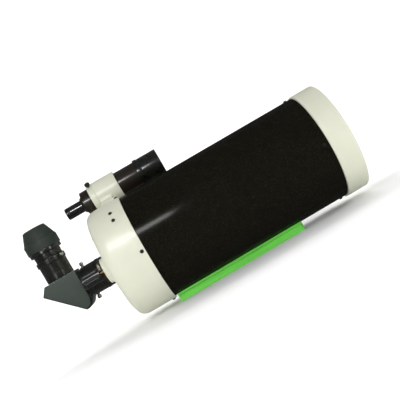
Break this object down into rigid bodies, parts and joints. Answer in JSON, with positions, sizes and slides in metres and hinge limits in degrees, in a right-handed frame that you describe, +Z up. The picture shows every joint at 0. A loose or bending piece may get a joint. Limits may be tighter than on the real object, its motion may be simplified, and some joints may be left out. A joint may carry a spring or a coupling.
{
  "type": "maksutov telescope",
  "caption": "Closed-tube mirror telescope with a meniscus front lens, a side diagonal and eyepiece, a finder on a sprung bracket and a dovetail bar underneath.",
  "frame": {"origin": "centre of the dovetail bar's flat bottom face", "axes": "+X along the optical axis towards the sky, +Z up from the dovetail bar to the tube, -Y the side with the focus knob"},
  "size_m": [0.627, 0.2264, 0.2886],
  "materials": {
    "cream_paint": "smooth satin paint on cast aluminium",
    "tube_paint": "gloss black paint with a fine metallic fleck",
    "green_anodised": "bright green anodised, fine drawn grain",
    "black_metal": "satin black anodised",
    "slate_paint": "fine textured slate paint",
    "black_plastic": "moulded, semi-gloss",
    "rubber": "matt soft rubber",
    "chrome": "bright plated, turned",
    "dark_steel": "blackened steel",
    "brass": "turned, dulled",
    "glass": "coated optical glass",
    "mirror": "polished aluminised glass"
  },
  "bodies": {
    "ota": {"tube": "tube_paint", "front_ring": "cream_paint", "corrector_lens": "glass", "corrector_retainer": "black_metal", "secondary_baffle": "black_metal", "rear_casting": "cream_paint", "baffle_tube": "black_metal", "dovetail_bar": "green_anodised", "dovetail_screw_front": "dark_steel", "dovetail_screw_rear": "dark_steel", "focus_bushing": "brass", "visual_back_adapter": "black_metal", "visual_back_ring": "chrome", "visual_back_receiver": "black_metal", "finder_shoe": "cream_paint", "spare_screw_upper": "dark_steel", "spare_screw_lower": "dark_steel", "casting_screw_top": "dark_steel", "casting_screw_bottom": "dark_steel", "casting_screw_near": "dark_steel", "casting_screw_far": "dark_steel", "ring_screw_top": "dark_steel", "ring_screw_bottom": "dark_steel", "ring_screw_near": "dark_steel", "ring_screw_far": "dark_steel", "collimation_screw_1": "dark_steel", "collimation_screw_2": "dark_steel", "collimation_screw_3": "dark_steel"},
    "mirror_cell": {"primary_mirror": "mirror", "mirror_carrier": "black_metal"},
    "focuser": {"focus_knob": "black_plastic", "focus_shaft": "dark_steel"},
    "back_screw_top": {"visual_back_screw_top": "chrome"},
    "back_screw_bottom": {"visual_back_screw_bottom": "chrome"},
    "nosepiece": {"diagonal_nosepiece": "black_metal"},
    "diagonal": {"diagonal_housing": "black_metal", "diagonal_side_plate_near": "slate_paint", "diagonal_side_plate_far": "slate_paint", "diagonal_mirror": "mirror", "diagonal_mirror_cover": "black_metal", "diagonal_eyepiece_holder": "black_metal"},
    "diagonal_screw": {"diagonal_clamp_screw": "chrome"},
    "eyepiece": {"eyepiece_barrel": "chrome", "eyepiece_body": "black_metal", "eyepiece_ring": "black_metal", "eyepiece_eyecup": "rubber", "eyepiece_eye_lens": "glass", "eyepiece_field_lens": "glass"},
    "finder_mount": {"finder_bracket": "cream_paint", "finder_plunger": "dark_steel"},
    "finder_pivot": {"finder_o_ring": "rubber"},
    "finder_scope": {"finder_tube": "tube_paint", "finder_rear_cell": "black_metal", "finder_eyepiece": "black_metal", "finder_eye_lens": "glass"},
    "finder_front": {"finder_dew_shield": "black_metal", "finder_objective": "glass"},
    "finder_adjuster_left": {"finder_screw_left": "black_plastic"},
    "finder_adjuster_right": {"finder_screw_right": "black_plastic"},
    "shoe_screw": {"shoe_clamp_screw": "dark_steel"}
  },
  "joints": [
    {"name": "focus_knob_turn", "type": "hinge", "parent": "ota", "child": "focuser", "pos_m": [-0.25, -0.06, 0.121], "axis": [1, 0, 0], "range_deg": [-2880, 2880]},
    {"name": "mirror_travel", "type": "slide", "parent": "ota", "child": "mirror_cell", "axis": [1, 0, 0], "range_m": [-0.008, 0.008]},
    {"name": "back_screw_top_turn", "type": "hinge", "parent": "ota", "child": "back_screw_top", "pos_m": [-0.2616, 0, 0.15], "axis": [0, 0, 1], "range_deg": [0, 720]},
    {"name": "back_screw_bottom_turn", "type": "hinge", "parent": "ota", "child": "back_screw_bottom", "pos_m": [-0.2616, 0, 0.09], "axis": [0, 0, -1], "range_deg": [0, 720]},
    {"name": "diagonal_pull_out", "type": "slide", "parent": "ota", "child": "nosepiece", "axis": [-1, 0, 0], "range_m": [0, 0.05]},
    {"name": "diagonal_swivel", "type": "hinge", "parent": "nosepiece", "child": "diagonal", "pos_m": [-0.272, 0, 0.12], "axis": [1, 0, 0], "continuous": true},
    {"name": "diagonal_screw_turn", "type": "hinge", "parent": "diagonal", "child": "diagonal_screw", "pos_m": [-0.28302, -0.01928, 0.1892], "axis": [0.766, -0.6428, 0], "range_deg": [0, 720]},
    {"name": "eyepiece_lift", "type": "slide", "parent": "diagonal", "child": "eyepiece", "axis": [0, 0, 1], "range_m": [0, 0.06]},
    {"name": "finder_release", "type": "slide", "parent": "ota", "child": "finder_mount", "axis": [-1, 0, 0], "range_m": [0, 0.045]},
    {"name": "finder_tilt_left", "type": "hinge", "parent": "finder_mount", "child": "finder_pivot", "pos_m": [-0.136, 0.0768, 0.25302], "axis": [0, 1, 0], "range_deg": [-1, 1]},
    {"name": "finder_tilt_right", "type": "hinge", "parent": "finder_pivot", "child": "finder_scope", "pos_m": [-0.136, 0.0768, 0.25302], "axis": [0, -0.5, 0.866], "range_deg": [-1, 1]},
    {"name": "finder_adjuster_left_travel", "type": "slide", "parent": "finder_mount", "child": "finder_adjuster_left", "axis": [0, -0.5, 0.866], "range_m": [-0.00075, 0.00075]},
    {"name": "finder_adjuster_right_travel", "type": "slide", "parent": "finder_mount", "child": "finder_adjuster_right", "axis": [0, 1, 0], "range_m": [-0.00075, 0.00075]},
    {"name": "finder_focus", "type": "hinge", "parent": "finder_scope", "child": "finder_front", "pos_m": [-0.06, 0.0768, 0.25302], "axis": [1, 0, 0], "range_deg": [-180, 180]},
    {"name": "shoe_screw_turn", "type": "hinge", "parent": "ota", "child": "shoe_screw", "pos_m": [-0.152, 0.07903, 0.20889], "axis": [0, 0.866, -0.5], "range_deg": [0, 720]}
  ],
  "couplings": [
    {"joint": "focus_knob_turn", "follows": "mirror_travel", "rad_per_m": 6283.2},
    {"joint": "finder_adjuster_left_travel", "follows": "finder_tilt_left", "m_per_rad": 0.040703},
    {"joint": "finder_adjuster_right_travel", "follows": "finder_tilt_right", "m_per_rad": -0.040703}
  ]
}
